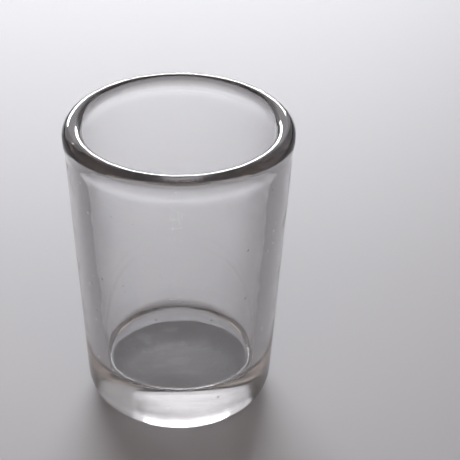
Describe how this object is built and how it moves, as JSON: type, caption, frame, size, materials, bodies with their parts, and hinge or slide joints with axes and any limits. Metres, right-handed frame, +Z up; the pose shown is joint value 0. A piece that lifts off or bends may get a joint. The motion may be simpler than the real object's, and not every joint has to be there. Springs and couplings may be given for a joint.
{
  "type": "drinking glass",
  "caption": "Small clear tumbler of the shot-glass kind: a tapering round wall with a rounded lip on a thick solid base, for a short drink.",
  "frame": {"origin": "centre of the bearing ring's plane, under the glass", "axes": "+Z up along the axis of the glass, towards the mouth; X and Y are alike, because the glass is round"},
  "size_m": [0.0436, 0.0436, 0.06],
  "materials": {
    "clear_glass": "clear polished soda-lime glass with a faint grey cast"
  },
  "bodies": {
    "root": {"glass_body": "clear_glass"}
  },
  "joints": []
}
